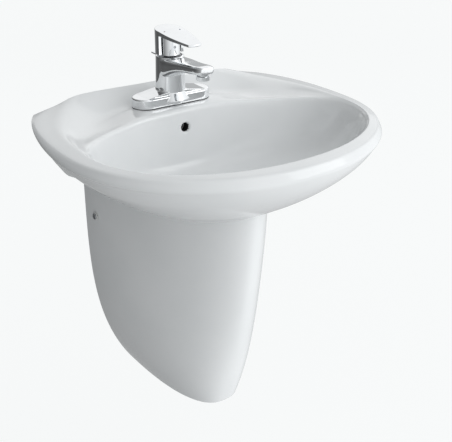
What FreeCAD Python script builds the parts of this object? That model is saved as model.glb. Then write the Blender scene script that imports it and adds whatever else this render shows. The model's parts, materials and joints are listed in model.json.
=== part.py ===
import FreeCAD, Part
import math
import os
import Sketcher

# Wall-hung washbasin with a half pedestal, single-lever mixer, pop-up waste and trap.
# Millimetres. X to the right, Y into the wall (the wall plane is Y = 0), Z up.
# Origin: midway between the two wall bolts, on the wall plane.

V = FreeCAD.Vector
X_AXIS, Y_AXIS, Z_AXIS = V(1, 0, 0), V(0, 1, 0), V(0, 0, 1)

doc = FreeCAD.newDocument("Washbasin")
sheet = doc.addObject("Spreadsheet::Sheet", "Sizes")
sheet.Label = "sizes"

DRIVING = [
    ("crest_z", 90.0, "rim crest above the wall bolts"),
    ("rim_half", 286.0, "half the overall width"),
    ("rim_front", 464.0, "projection from the wall"),
    ("widest_y", 205.0, "distance of the widest point from the wall"),
    ("rim_at_wall", 240.0, "half-width of the rim at the wall"),
    ("belly_depth", 139.0, "rim crest to underside"),
    ("belly_fade", 165.0, "depth at which the belly curve would close"),
    ("bowl_depth", 127.0, "rim crest to bowl floor"),
    ("deck_drop", 6.5, "tap deck below the rim crest"),
    ("deck_thick", 15.0, "china under the tap"),
    ("web_thick", 16.0, "china against the wall"),
    ("cavity_half", 162.0, "half-width of the service cavity behind the bowl"),
    ("cavity_front", 97.0, "front face of the service cavity"),
    ("bolt_pitch", 280.0, "wall bolt spacing"),
    ("bolt_hole_rad", 8.0, "wall bolt hole"),
    ("bolt_rad", 5.0, "wall bolt, machine thread"),
    ("bolt_tail_rad", 4.6, "wall bolt, wood thread in the wall"),
    ("screw_tail_rad", 2.2, "bracket screw, thread in the wall"),
    ("side_share", 0.4, "share of the belly's fullness at its sides"),
    ("drain_y", 205.0, "waste centre from the wall"),
    ("drain_hole_rad", 23.0, "waste hole"),
    ("overflow_rad", 8.5, "overflow hole"),
    ("overflow_drop", 41.0, "overflow below the rim crest"),
    ("tap_y", 67.0, "tap column centre and tap hole line from the wall"),
    ("tap_pitch", 102.0, "outer tap hole spacing"),
    ("side_hole_rad", 16.0, "outer tap holes"),
    ("mid_hole_rad", 17.5, "centre tap hole"),
    ("base_long", 153.0, "tap base length"),
    ("base_wide", 50.0, "tap base width"),
    ("base_high", 19.0, "tap base height"),
    ("column_rad", 25.0, "tap column"),
    ("column_high", 85.5, "deck to the top of the tap column"),
    ("spout_reach", 121.0, "column centre to spout tip"),
    ("cartridge_rad", 17.5, "mixer cartridge"),
    ("lift_rod_rad", 1.6, "pop-up lift rod"),
    ("lift_rod_y", 34.0, "lift rod from the wall"),
    ("shank_rad", 10.2, "threaded inlet shank"),
    ("shank_tail_rad", 9.8, "inlet shank, tail that takes the hose"),
    ("shank_tail", 20.0, "length of the inlet tail"),
    ("ped_half", 149.6, "half-width of the pedestal at its top"),
    ("ped_foot_half", 72.3, "half-width of the pedestal at its foot"),
    ("ped_front", 324.4, "pedestal projection at its top"),
    ("ped_foot_front", 236.7, "pedestal projection at its foot"),
    ("ped_top", 118.0, "pedestal top below the rim crest"),
    ("ped_foot", 553.4, "pedestal foot below the rim crest"),
    ("ped_wall", 11.0, "pedestal china thickness"),
    ("fit_gap", 0.8, "gap between the two china pieces"),
    ("tail_rad", 16.0, "waste pipe outer radius"),
    ("spigot_rad", 15.6, "waste pipe, spigot in the wall"),
    ("pipe_wall", 1.5, "waste pipe wall"),
    ("bend_rad", 38.0, "trap bend centre-line radius"),
    ("trap_inlet_z", 215.0, "trap inlet joint below the wall bolts"),
]
for row, (alias, value, note) in enumerate(DRIVING, start=1):
    sheet.set(f"A{row}", note)
    sheet.set(f"B{row}", str(value))
    sheet.setAlias(f"B{row}", alias)
doc.recompute()


class Size:
    """A length read from the sheet, with the expression that gives it."""

    def __init__(self, value, text):
        self.value = float(value)
        self.text = text

    def _join(self, other, sign, value):
        other_text = other.text if isinstance(other, Size) else repr(float(other))
        return Size(value, f"({self.text} {sign} {other_text})")

    def __add__(self, other):
        return self._join(other, "+", self.value + number(other))

    def __sub__(self, other):
        return self._join(other, "-", self.value - number(other))

    def __mul__(self, other):
        return self._join(other, "*", self.value * number(other))

    def __truediv__(self, other):
        return self._join(other, "/", self.value / number(other))

    def __neg__(self):
        return self * -1


def number(size):
    return size.value if isinstance(size, Size) else float(size)


def size(alias):
    return Size(sheet.get(alias), f"Sizes.{alias}")


pieces = []


def bind(obj, prop, amount):
    setattr(obj, prop, number(amount))
    if isinstance(amount, Size):
        obj.setExpression(prop, amount.text)


def place(obj, at, axis=Z_AXIS, turn=0.0):
    rotation = FreeCAD.Rotation(Z_AXIS, axis)
    rotation = rotation.multiply(FreeCAD.Rotation(Z_AXIS, turn))
    obj.Placement = FreeCAD.Placement(V(*[number(c) for c in at]), rotation)
    for name, coordinate in zip("xyz", at):
        if isinstance(coordinate, Size):
            obj.setExpression(f"Placement.Base.{name}", coordinate.text)
    return obj


def keep(obj, label):
    obj.Label = label
    pieces.append(obj)
    return obj


def cylinder(radius, height, at, axis=Z_AXIS):
    obj = doc.addObject("Part::Cylinder", "Cylinder")
    bind(obj, "Radius", radius)
    bind(obj, "Height", height)
    return place(obj, at, axis)


def cone(radius_low, radius_high, height, at, axis=Z_AXIS):
    obj = doc.addObject("Part::Cone", "Cone")
    bind(obj, "Radius1", radius_low)
    bind(obj, "Radius2", radius_high)
    bind(obj, "Height", height)
    return place(obj, at, axis)


def block(length, width, height, corner):
    obj = doc.addObject("Part::Box", "Block")
    bind(obj, "Length", length)
    bind(obj, "Width", width)
    bind(obj, "Height", height)
    return place(obj, corner)


def sphere(radius, at):
    obj = doc.addObject("Part::Sphere", "Sphere")
    bind(obj, "Radius", radius)
    return place(obj, at)


def hexagon(across_flats, height, at, axis=Z_AXIS, turn=0.0):
    obj = doc.addObject("Part::Prism", "Hexagon")
    obj.Polygon = 6
    bind(obj, "Circumradius", across_flats / math.sqrt(3) if isinstance(across_flats, float)
         else across_flats * (1 / math.sqrt(3)))
    bind(obj, "Height", height)
    return place(obj, at, axis, turn)


def solid(shape, name="Shaped"):
    obj = doc.addObject("Part::Feature", name)
    obj.Shape = shape
    return obj


def cut(base, *tools):
    for tool in tools:
        obj = doc.addObject("Part::Cut", "Cut")
        obj.Base = base
        obj.Tool = tool
        base = obj
    return base


def fuse(*shapes):
    obj = doc.addObject("Part::MultiFuse", "Fuse")
    obj.Shapes = list(shapes)
    obj.Refine = True
    return obj


def group(*shapes):
    obj = doc.addObject("Part::Compound", "Group")
    obj.Links = list(shapes)
    return obj


def tube(radius, bore, height, at, axis=Z_AXIS):
    return cut(cylinder(radius, height, at, axis), cylinder(bore, height, at, axis))


def nut(across_flats, bore, height, at, axis=Z_AXIS):
    return cut(hexagon(across_flats, height, at, axis), cylinder(bore, height, at, axis))


def turned(label, profile, at, axis=Z_AXIS):
    """A PartDesign body turned from a closed profile of (radius, height) points."""
    body = doc.addObject("PartDesign::Body", label)
    plane = [f for f in body.Origin.OriginFeatures if f.Role == "XZ_Plane"][0]
    sketch = body.newObject("Sketcher::SketchObject", label + "_profile")
    sketch.AttachmentSupport = [(plane, "")]
    sketch.MapMode = "FlatFace"
    points = [V(number(radius), number(height), 0) for radius, height in profile]
    count = len(points)
    for i in range(count):
        sketch.addGeometry(Part.LineSegment(points[i], points[(i + 1) % count]))
    for i in range(count):
        sketch.addConstraint(joined(i, (i + 1) % count))
    for i, (radius, height) in enumerate(profile):
        hold(sketch, i, "DistanceX", radius, -2)
        hold(sketch, i, "DistanceY", height, -1)
    spin = body.newObject("PartDesign::Revolution", label + "_turned")
    spin.Profile = sketch
    spin.ReferenceAxis = (sketch, ["V_Axis"])
    spin.Angle = 360
    body.Tip = spin
    return place(body, at, axis)


def joined(first, second):
    return Sketcher.Constraint("Coincident", first, 2, second, 1)


def hold(sketch, line, kind, amount, axis_line):
    if abs(number(amount)) < 1e-9:
        sketch.addConstraint(Sketcher.Constraint("PointOnObject", line, 1, axis_line))
        return
    index = sketch.addConstraint(Sketcher.Constraint(kind, -1, 1, line, 1, number(amount)))
    if isinstance(amount, Size):
        sketch.setExpression(f"Constraints[{index}]", amount.text)


# ---------------------------------------------------------------- china shapes

CREST = number(size("crest_z"))
SPOKES = 40
PULLS = 3


def super_radius(angle, half, depth, power):
    """Polar radius of a superellipse with the given half-axes."""
    across = abs(math.cos(angle)) / half
    along = abs(math.sin(angle)) / depth
    return (across ** power + along ** power) ** (-1.0 / power)


def oval(half, centre_y, front_y, back_y, depth, power=(2.1, 2.1), lift=None, dish=0.0):
    """A closed outline round (0, centre_y); lift(y) raises it and dish sinks its rear corners."""
    points = []
    for spoke in range(SPOKES):
        angle = math.pi / 2 + 2 * math.pi * spoke / SPOKES
        towards_wall = math.sin(angle) > 0
        reach = back_y - centre_y if towards_wall else centre_y - front_y
        radius = super_radius(angle, half, reach, power[1 if towards_wall else 0])
        y = centre_y + radius * math.sin(angle)
        rise = lift(y) if lift else 0.0
        x = radius * math.cos(angle)
        sunk = dish * rise_of(abs(x), 85, 150) * rise_of(y, -215, -120)
        points.append(V(x, y, CREST - depth - sunk + rise))
    return points


def belly_oval(drop, half, front, at_wall, grow=0.0):
    """An outline of the outer skin: round in front, running back to the wall."""
    centre = -number(size("widest_y"))
    beyond_wall = 60.0
    points = []
    for spoke in range(SPOKES):
        angle = math.pi / 2 + 2 * math.pi * spoke / SPOKES
        cosine, sine = math.cos(angle), math.sin(angle)
        if sine <= 0:
            radius = super_radius(angle, half + grow, front + grow, 2.15)
        else:
            bend = (half - at_wall) * sine ** 2 / centre ** 2
            inside = cosine ** 2 + 4 * bend * (half + grow)
            flank = 2 * (half + grow) / (abs(cosine) + math.sqrt(inside)) if inside > 0 else 1e4
            back = (beyond_wall - centre) / sine
            radius = (flank ** -8 + back ** -8) ** (-1.0 / 8)
        points.append(V(radius * cosine, centre + radius * sine, CREST - drop - grow))
    return points


def rear_lift(height):
    """The rim climbs towards the wall behind the tap."""
    start, run = -110.0, 150.0

    def lift(y):
        return height * max(0.0, (y - start) / run) ** 3
    return lift


def belly_fullness(drop):
    """How far the belly swells beyond its plain curve, most at about 40 mm below the crest."""
    share = drop / number(size("belly_fade"))
    return 70.0 * share ** 0.9 * (1 - share) ** 3


def belly_half(drop):
    """Half-width of the belly at a depth below the crest."""
    fade = number(size("belly_fade"))
    plain = number(size("rim_half")) * (1 - (drop / fade) ** 1.43) ** (1 / 1.6)
    return plain + number(size("side_share")) * belly_fullness(drop)


def belly_front(drop):
    """Reach of the belly in front of its widest point, at a depth below the crest."""
    fade = number(size("belly_fade"))
    reach = number(size("rim_front")) - number(size("widest_y"))
    return reach * (1 - (drop / fade) ** 1.5) ** (1 / 1.7) + belly_fullness(drop)


def belly_wall(drop):
    """Half-width of the basin against the wall, at a depth below the crest."""
    return number(size("rim_at_wall")) - 57.0 * (drop / 131.0) ** 1.9


def basin_rings(grow=0.0):
    """Outlines of the basin from the waste, up the bowl, over the rim and down the belly."""
    floor = number(size("bowl_depth"))
    deck = number(size("deck_drop"))
    drain = -number(size("drain_y"))
    rim = number(size("rim_half"))
    front = number(size("rim_front"))
    reach = front - number(size("widest_y"))
    wall = number(size("rim_at_wall"))
    rings = [
        oval(12, drain, drain - 12, drain + 12, floor + 6, (2, 2)),
        oval(32, drain, drain - 32, drain + 32, floor, (2, 2)),
        oval(74, drain - 5, -286, -148, floor - 4),
        oval(128, -215, -327, -132, floor - 14),
        oval(175, -228, -364, -123, floor - 33),
        oval(208, -240, -391, -118.5, floor - 58),
        oval(228, -248, -409, -115.5, floor - 87),
        oval(239, -252, -420, -113, 17.5),
        oval(245.5, -255, -427, -107, deck + 1.0, dish=3.0),
        oval(247.8, -254, -429.5, -84, 4.4, (2.1, 2.1), lambda y: -2.1 * rise_of(y, -170, -95), 7.5),
        oval(250.0, -252, -432, -56, 2.5, (2.1, 2.15), lambda y: -4.0 * rise_of(y, -150, -70), 7.0),
        oval(252.2, -249, -434.6, -31, 1.0, (2.1, 2.25), lambda y: -4.6 * rise_of(y, -120, -45), 5.0),
        oval(254.8, -245, -437.5, 32, 0.0, (2.1, 2.3), rear_lift(40.0)),
        oval(263, -235, -446, 46, 1.2, (2.1, 2.6), rear_lift(20.0)),
        oval(275, -220, -456, 55, 3.4, (2.13, 2.85), rear_lift(7.0)),
    ]
    rings.append(edge_ring(rim, reach, wall, 0.35, 0.25))
    rings.append(edge_ring(rim, reach, wall, 0.0, 1.0))
    for drop in (24, 38, 54, 71, 88, 105, 121, 132):
        rings.append(belly_oval(drop, belly_half(drop), belly_front(drop), belly_wall(drop), grow))
    depth = number(size("belly_depth"))
    rings.append(belly_oval(depth - 1.5, 98, 90, 171, grow))
    rings.append(belly_oval(depth, 72, 66, 150, grow))
    rings.append(belly_oval(depth, 40, 40, 70, grow))
    rings.append(oval(14, drain, drain - 14, drain + 14, depth + grow, (2, 2)))
    return rings


def rise_of(y, low, high):
    """0 in front of low, 1 behind high, smooth between."""
    share = min(1.0, max(0.0, (y - low) / (high - low)))
    return share * share * (3 - 2 * share)


def edge_ring(half, reach, wall, inward, down):
    """A ring of the rounded rim edge, soft in front and tight at the wall corners."""
    centre = -number(size("widest_y"))
    edge_top = 5.0
    points = belly_oval(edge_top, half, reach, wall)
    ring = []
    for point in points:
        towards_wall = rise_of(point.y, centre - 60, 0)
        radius = 12.0 - 8.5 * towards_wall
        out = V(point.x, point.y - centre, 0)
        out.normalize()
        ring.append(point - out * (radius * inward) - V(0, 0, radius * down))
    return ring


def skin(rings):
    """A smooth closed solid that follows the rings, made of four patches of one surface."""
    poles = [[V(p) for p in ring] for ring in rings]
    count = len(rings)
    for _ in range(PULLS):
        along = [[(poles[i - 1][j] + poles[i][j] * 4 + poles[(i + 1) % count][j]) * (1 / 6.0)
                  for j in range(SPOKES)] for i in range(count)]
        for i in range(count):
            line = along[i]
            smooth = [(line[j - 1] + line[j] * 4 + line[(j + 1) % SPOKES]) * (1 / 6.0)
                      for j in range(SPOKES)]
            for j in range(SPOKES):
                poles[i][j] = poles[i][j] + (rings[i][j] - smooth[j])
    patches = []
    rim, half = 14, SPOKES // 2
    for low, high in ((0, rim), (rim, count)):
        for left, right in ((0, half), (half, SPOKES)):
            surface = Part.BSplineSurface()
            surface.buildFromPolesMultsKnots(
                poles, [1] * (count + 1), [1] * (SPOKES + 1),
                list(range(count + 1)), list(range(SPOKES + 1)), True, True, 3, 3)
            surface.segment(low, high, left, right)
            patches.append(surface.toShape())
    shell = Part.makeShell(patches)
    shell.sewShape()
    made = Part.Solid(shell)
    if made.Volume < 0:
        made.reverse()
    return made


def rounded_block(x_half, y_back, y_front, z_low, z_high, corner, top_round):
    """A block with round upright corners and a rounded top, as a plain shape."""
    made = Part.makeBox(2 * x_half, y_back - y_front, z_high - z_low, V(-x_half, y_front, z_low))
    upright = [e for e in made.Edges if abs(e.BoundBox.ZLength) > 1]
    made = made.makeFillet(corner, upright)
    top = [e for e in made.Edges if e.BoundBox.ZMin > z_high - 0.01]
    return made.makeFillet(top_round, top)


def tap_footprint(margin, height, z_low):
    """The tap base's outline, grown by margin, with the shelf behind for the lift rod."""
    radius = number(size("base_wide")) / 2 + margin
    half = number(size("base_long")) / 2 - number(size("base_wide")) / 2
    y = -number(size("tap_y"))
    made = Part.makeBox(2 * half, 2 * radius, height, V(-half, y - radius, z_low))
    for side in (-half, half):
        made = made.fuse(Part.makeCylinder(radius, height, V(side, y, z_low)))
    shelf = 14 + margin
    back = -number(size("lift_rod_y")) + 6 + margin
    made = made.fuse(Part.makeBox(2 * shelf, back - y, height, V(-shelf, y, z_low)))
    return made.removeSplitter()


def make_basin():
    """The china basin: bowl, rim, tap deck, rear web with bolt holes and overflow way."""
    underside = CREST - number(size("belly_depth"))
    deck_z = CREST - number(size("deck_drop"))
    shape = skin(basin_rings())
    big = 700.0
    shape = shape.cut(Part.makeBox(2 * big, big, 2 * big, V(-big, 0, -big)))
    cavity = rounded_block(
        number(size("cavity_half")), -number(size("web_thick")), -number(size("cavity_front")),
        underside - 10, deck_z - number(size("deck_thick")), 10.0, 8.0)
    shape = shape.cut(cavity)
    drain = V(0, -number(size("drain_y")), underside - 30)
    shape = shape.cut(Part.makeCylinder(number(size("drain_hole_rad")), 120, drain))
    seat = V(0, drain.y, CREST - number(size("bowl_depth")) - 2.4)
    shape = shape.cut(Part.makeCylinder(33.5, 30, seat))
    hole_y = -number(size("tap_y"))
    landing = tap_footprint(2.0, 12.0, deck_z - 12.0)
    shape = shape.fuse(landing).cut(tap_footprint(2.0, 40.0, deck_z))
    pitch = number(size("tap_pitch")) / 2
    for x, radius in ((-pitch, "side_hole_rad"), (0, "mid_hole_rad"), (pitch, "side_hole_rad")):
        hole = Part.makeCylinder(number(size(radius)), 60, V(x, hole_y, deck_z - 40))
        shape = shape.cut(hole)
    rod_y = -number(size("lift_rod_y"))
    shape = shape.cut(Part.makeBox(10, rod_y - hole_y + 5, 60, V(-5, hole_y, deck_z - 40)))
    bolt = number(size("bolt_pitch")) / 2
    for x in (-bolt, bolt):
        hole = Part.makeCylinder(number(size("bolt_hole_rad")), 40, V(x, 1, 0), V(0, -1, 0))
        shape = shape.cut(hole)
    overflow_z = CREST - number(size("overflow_drop"))
    mouth = V(0, -135, overflow_z)
    reach = 135 - number(size("cavity_front")) + 10
    shape = shape.cut(Part.makeCylinder(number(size("overflow_rad")), reach, mouth, Y_AXIS))
    return shape


def pedestal_law(drop, inset=0.0):
    """Half-width at the wall, reach and squareness of the pedestal at a depth below the crest."""
    top, foot = number(size("ped_top")), number(size("ped_foot"))
    share = (drop - top) / (foot - top)
    half = number(size("ped_half"))
    foot_half = number(size("ped_foot_half"))
    front = number(size("ped_front"))
    foot_front = number(size("ped_foot_front"))
    width = half - (half - foot_half) * share ** 3.75 - inset
    depth = front - (front - foot_front) * share ** 1.6 - inset
    return width, depth, 1.7 + 0.92 * share ** 3.7


def pedestal_width(drop, y, inset=0.0):
    """Half-width of the pedestal at a distance y from the wall plane."""
    width, depth, power = pedestal_law(drop, inset)
    return width * (1 - (abs(y) / depth) ** power) ** (1 / power)


def pedestal_outline(drop, inset=0.0):
    """The pedestal's outline at a depth below the crest: a U, open at the wall."""
    width, depth, power = pedestal_law(drop, inset)
    steps = 14
    points = []
    for step in range(-steps, steps + 1):
        angle = math.pi / 2 + (math.pi / 2) * step / steps
        radius = super_radius(angle, width, depth, power)
        points.append(V(radius * math.cos(angle), -radius * math.sin(angle), CREST - drop))
    return points


def pedestal_solid(low, inset=0.0, behind=0.0):
    """A closed loft of the pedestal's outlines, from the top down to the depth low."""
    top = number(size("ped_top"))
    levels = 7
    wires = []
    for level in range(levels):
        points = pedestal_outline(top + (low - top) * level / (levels - 1), inset)
        curve = Part.BSplineCurve()
        curve.interpolate(points)
        right, left = points[0], points[-1]
        edges = [curve.toShape()]
        if behind > 0:
            corners = [V(left.x, behind, left.z), V(right.x, behind, right.z)]
            edges.append(Part.makeLine(left, corners[0]))
            edges.append(Part.makeLine(corners[0], corners[1]))
            edges.append(Part.makeLine(corners[1], right))
        else:
            edges.append(Part.makeLine(left, right))
        wires.append(Part.Wire(Part.__sortEdges__(edges)))
    return Part.makeLoft(wires, True, False)


def make_pedestal():
    """The half pedestal: a china shell open at the wall and under the basin."""
    foot = number(size("ped_foot"))
    wall = number(size("ped_wall"))
    big = 700.0
    into_wall = Part.makeBox(2 * big, big, 2 * big, V(-big, 0, -big))
    belly = skin(basin_rings(number(size("fit_gap")))).cut(into_wall)
    outer = pedestal_solid(foot).cut(belly)
    shape = outer.cut(pedestal_solid(foot - wall, wall, 1.0))
    shape = max(shape.Solids, key=lambda part: part.Volume)
    for side in (-1, 1):
        hole = Part.makeCylinder(3.5, 60, V(side * 190, PED_FIX_Y, PED_FIX_Z), V(-side, 0, 0))
        shape = shape.cut(hole)
    return shape


PED_FIX_Y = -38.0
PED_FIX_Z = -115.0


# ---------------------------------------------------------------- tap shapes

DECK_Z = size("crest_z") - size("deck_drop")
GASKET = 1.5
BASE_Z = DECK_Z + GASKET
COLUMN_TOP = DECK_Z + size("column_high")
TAP_Y = -number(size("tap_y"))


def section(y, width, z_low, z_high):
    """A rounded-rectangle wire in the plane Y = y."""
    points = []
    steps = 24
    for step in range(steps):
        angle = 2 * math.pi * step / steps
        radius = super_radius(angle, width / 2, (z_high - z_low) / 2, 4.6)
        points.append(V(radius * math.cos(angle), y,
                        (z_low + z_high) / 2 + radius * math.sin(angle)))
    curve = Part.BSplineCurve()
    curve.interpolate(points, True)
    return Part.Wire([curve.toShape()])


def make_tap_body():
    """Base with both end bosses, column with the cartridge bore, and the cast spout."""
    base_z, top = number(BASE_Z), number(COLUMN_TOP)
    radius = number(size("column_rad"))
    base = tap_footprint(0.0, number(size("base_high")) - GASKET, base_z)
    rim = [e for e in base.Edges if e.BoundBox.ZMin > base.BoundBox.ZMax - 0.01]
    base = base.makeFillet(3.0, rim)
    column = Part.makeCone(radius + COLUMN_TAPER, radius, top - base_z, V(0, TAP_Y, base_z))
    crown = [e for e in column.Edges if e.BoundBox.ZMin > top - 0.01]
    column = column.makeFillet(1.2, crown)
    reach = number(size("spout_reach"))
    wires = [
        section(TAP_Y - 8, 50, top - 36, top - 1.2),
        section(TAP_Y - 30, 47, top - 28, top - 0.8),
        section(TAP_Y - 60, 41, top - 17, top + 1.0),
        section(TAP_Y - 92, 36, top - 12.0, top + 3.0),
        section(TAP_Y - reach + 6, 31, top - 8.6, top + 4.4),
        section(TAP_Y - reach, 24, top - 7.4, top + 4.0),
    ]
    spout = Part.makeLoft(wires, True, False)
    skirt = Part.makeCone(radius + 9, radius, 16, V(0, TAP_Y, base_z + 8))
    shape = base.fuse([column, spout, skirt, wing_ridge()]).removeSplitter()
    for tool in tap_hollows():
        shape = shape.cut(tool)
    return shape


def wing_ridge():
    """The top of the base, which climbs from both ends to the column."""
    low = number(BASE_Z) + number(size("base_high")) - GASKET - 0.5
    end = number(size("base_long")) / 2 - 14
    half_wide = number(size("base_wide")) / 2 - 3
    outline = Part.makePolygon([
        V(-end, TAP_Y - half_wide, low), V(-24, TAP_Y - half_wide, low + RIDGE),
        V(24, TAP_Y - half_wide, low + RIDGE), V(end, TAP_Y - half_wide, low),
        V(-end, TAP_Y - half_wide, low)])
    return Part.Face(outline).extrude(V(0, 2 * half_wide, 0))


COLUMN_TAPER, RIDGE = 2.0, 6.5


def tap_hollows():
    """Bores of the tap body: cartridge, retainer thread, waterway, aerator, lift rod, shanks."""
    base_z, top = number(BASE_Z), number(COLUMN_TOP)
    radius = number(size("cartridge_rad")) + 0.3
    nose_y = TAP_Y - number(size("spout_reach")) + AERATOR_BACK
    rod_y = -number(size("lift_rod_y"))
    pitch = number(size("tap_pitch")) / 2
    shank = number(size("shank_rad"))
    return [
        Part.makeCylinder(radius, 40, V(0, TAP_Y, top - CARTRIDGE_SEAT)),
        Part.makeCylinder(radius + 3.6, 12, V(0, TAP_Y, top - 9)),
        Part.makeCylinder(4.5, 85, V(0, TAP_Y - 10, top - 8), V(0, -1, 0.02)).common(
            Part.makeBox(20, 200, 40, V(-10, nose_y, top - 20))),
        Part.makeCylinder(9.6, 11.8, V(0, nose_y, top - 20)),
        Part.makeCylinder(number(size("lift_rod_rad")) + 0.3, 40, V(0, rod_y, base_z - 1)),
        Part.makeCylinder(shank + 0.2, 8, V(-pitch, TAP_Y, base_z - 1)),
        Part.makeCylinder(shank + 0.2, 8, V(pitch, TAP_Y, base_z - 1)),
        Part.makeCylinder(12, number(size("base_high")) - 8, V(0, TAP_Y, base_z - 1)),
    ]


CARTRIDGE_SEAT = 38.0
AERATOR_BACK = 14.0
PIN_Y, PIN_RISE = TAP_Y + 15.0, 9.0
SKIRT_GAP = 3.5
LEVER_TIP = TAP_Y - 86.0
LEVER_HEEL_RISE, LEVER_TIP_RISE = 48.8, 35.4


def lever_outline():
    """The paddle from above: a round heel narrowing to a squared tip."""
    heel = number(size("column_rad"))
    tip_half = 12.8
    left_heel, right_heel = V(-heel, TAP_Y - 6, 0), V(heel, TAP_Y - 6, 0)
    left_tip, right_tip = V(-tip_half, LEVER_TIP + 3, 0), V(tip_half, LEVER_TIP + 3, 0)
    flank = Part.BezierCurve()
    flank.setPoles([right_heel, V(heel, TAP_Y - 38, 0), V(tip_half + 6, LEVER_TIP + 26, 0), right_tip])
    other = Part.BezierCurve()
    other.setPoles([left_tip, V(-tip_half - 6, LEVER_TIP + 26, 0), V(-heel, TAP_Y - 38, 0), left_heel])
    edges = [
        Part.Arc(left_heel, V(0, TAP_Y + heel, 0), right_heel).toShape(),
        flank.toShape(),
        Part.Arc(right_tip, V(0, LEVER_TIP, 0), left_tip).toShape(),
        other.toShape(),
    ]
    return Part.Wire(Part.__sortEdges__(edges))


def make_lever():
    """The lever: a sloping paddle over a skirt that wraps the back and sides of the carrier."""
    top = number(COLUMN_TOP)
    heel = number(size("column_rad"))
    low = top + SKIRT_GAP
    back, tip = TAP_Y + heel + 1, LEVER_TIP - 1
    front_of_skirt = TAP_Y - 6
    under_heel, under_tip = top + LEVER_HEEL_RISE - 9, top + LEVER_TIP_RISE - 4
    share = (back - front_of_skirt) / (back - tip)
    under_front = under_heel + share * (under_tip - under_heel)
    profile = Part.makePolygon([
        V(-40, back, top + LEVER_HEEL_RISE), V(-40, tip, top + LEVER_TIP_RISE),
        V(-40, tip, under_tip), V(-40, front_of_skirt, under_front),
        V(-40, front_of_skirt, low), V(-40, back, low), V(-40, back, top + LEVER_HEEL_RISE)])
    blank = Part.Face(lever_outline()).extrude(V(0, 0, 100))
    blank.translate(V(0, 0, top - 10))
    shape = blank.common(Part.Face(profile).extrude(V(80, 0, 0)))
    hollow = Part.makePolygon([
        V(-40, back, under_heel), V(-40, front_of_skirt - 1, under_front - 0.1),
        V(-40, front_of_skirt - 1, low - 1), V(-40, back, low - 1), V(-40, back, under_heel)])
    hollow = Part.Face(hollow).extrude(V(80, 0, 0))
    shape = shape.cut(Part.makeCylinder(heel - 4.5, 90, V(0, TAP_Y, low - 5)).common(hollow))
    pin = Part.makeCylinder(2.02, 40, V(-20, PIN_Y, top + PIN_RISE), X_AXIS)
    shape = shape.cut(pin)
    for side in (-1, 1):
        shape = shape.cut(Part.makeCylinder(1.3, 30, V(side * DOT_X, DOT_Y, dot_floor())))
    return shape


DOT_X, DOT_Y, DOT_DEEP = 15.4, TAP_Y - 10.0, 1.4


def dot_floor():
    """Height of the bottom of the two marker pockets in the paddle's top."""
    top = number(COLUMN_TOP)
    back, tip = TAP_Y + number(size("column_rad")) + 1, LEVER_TIP - 1
    share = (back - DOT_Y) / (back - tip)
    return top + LEVER_HEEL_RISE + share * (LEVER_TIP_RISE - LEVER_HEEL_RISE) - DOT_DEEP


# ---------------------------------------------------------------- build: china

keep(solid(make_basin(), "Basin"), "basin")
keep(solid(make_pedestal(), "Pedestal"), "half_pedestal")

# ---------------------------------------------------------------- build: wall fixings

half_pitch = size("bolt_pitch") / 2
bolt_rad = size("bolt_rad")
web = size("web_thick")
SIDES = (-1, 1)


def per_side(maker):
    return group(*[maker(side) for side in SIDES])


def wall_bolt(side):
    shank = cylinder(bolt_rad, web + 16, (half_pitch * side, -(web + 16), 0), Y_AXIS)
    tail = cylinder(size("bolt_tail_rad"), 40, (half_pitch * side, 0, 0), Y_AXIS)
    tip = cone(size("bolt_tail_rad"), 1.5, 8, (half_pitch * side, 40, 0), Y_AXIS)
    return fuse(shank, tail, tip)


def wall_sleeve(side):
    at_web = (half_pitch * side, -(web + 0.0), 0)
    collar = tube(size("bolt_hole_rad") + 3, bolt_rad + 0.3, 2, (half_pitch * side, -(web + 2.0), 0), Y_AXIS)
    barrel = tube(size("bolt_hole_rad") - 0.4, bolt_rad + 0.3, web - 1, at_web, Y_AXIS)
    return fuse(collar, barrel)


keep(per_side(wall_bolt), "wall_bolts")
keep(per_side(wall_sleeve), "wall_bolt_sleeves")
keep(per_side(lambda side: tube(12, bolt_rad + 0.3, 2, (half_pitch * side, -(web + 4), 0), Y_AXIS)),
     "wall_bolt_washers")
keep(per_side(lambda side: nut(17.0, bolt_rad + 0.02, 8, (half_pitch * side, -(web + 12.2), 0), Y_AXIS)),
     "wall_bolt_nuts")

# pedestal fixings: an angle bracket on the wall each side, a side screw and its cover
def inner_face():
    """Half-width of the pedestal's inside at the front lower corner of the bracket."""
    return pedestal_width(CREST - PED_FIX_Z + 15, -50, number(size("ped_wall")))


BRACKET_X = inner_face() - 1.0


def wall_bracket(side):
    flange_x = BRACKET_X - 3 if side > 0 else -BRACKET_X
    ear = block(3, 48, 30, (flange_x, -50, PED_FIX_Z - 15))
    foot_x = BRACKET_X - 26 if side > 0 else -BRACKET_X
    foot = block(26, 3, 30, (foot_x, -3, PED_FIX_Z - 15))
    angle = fuse(ear, foot)
    ear_hole = cylinder(2.6, 12, (side * (BRACKET_X - 6), PED_FIX_Y, PED_FIX_Z), V(side, 0, 0))
    foot_hole = cylinder(2.8, 12, (side * (BRACKET_X - 16), -6, PED_FIX_Z), Y_AXIS)
    return cut(angle, ear_hole, foot_hole)


def outer_face():
    """Half-width of the pedestal's outside at the widest edge of the screw's washer."""
    return pedestal_width(CREST - PED_FIX_Z - 8, PED_FIX_Y + 8)


HEAD_X = outer_face() + 1.6


def side_screw(side):
    head = cylinder(5.5, 2.4, (side * HEAD_X, PED_FIX_Y, PED_FIX_Z), V(side, 0, 0))
    length = HEAD_X - BRACKET_X + 10
    shank = cylinder(2.5, length, (side * HEAD_X, PED_FIX_Y, PED_FIX_Z), V(-side, 0, 0))
    return fuse(head, shank)


def side_washer(side):
    return tube(7.5, 2.8, 1.2, (side * (HEAD_X - 1.2), PED_FIX_Y, PED_FIX_Z), V(side, 0, 0))


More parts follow.
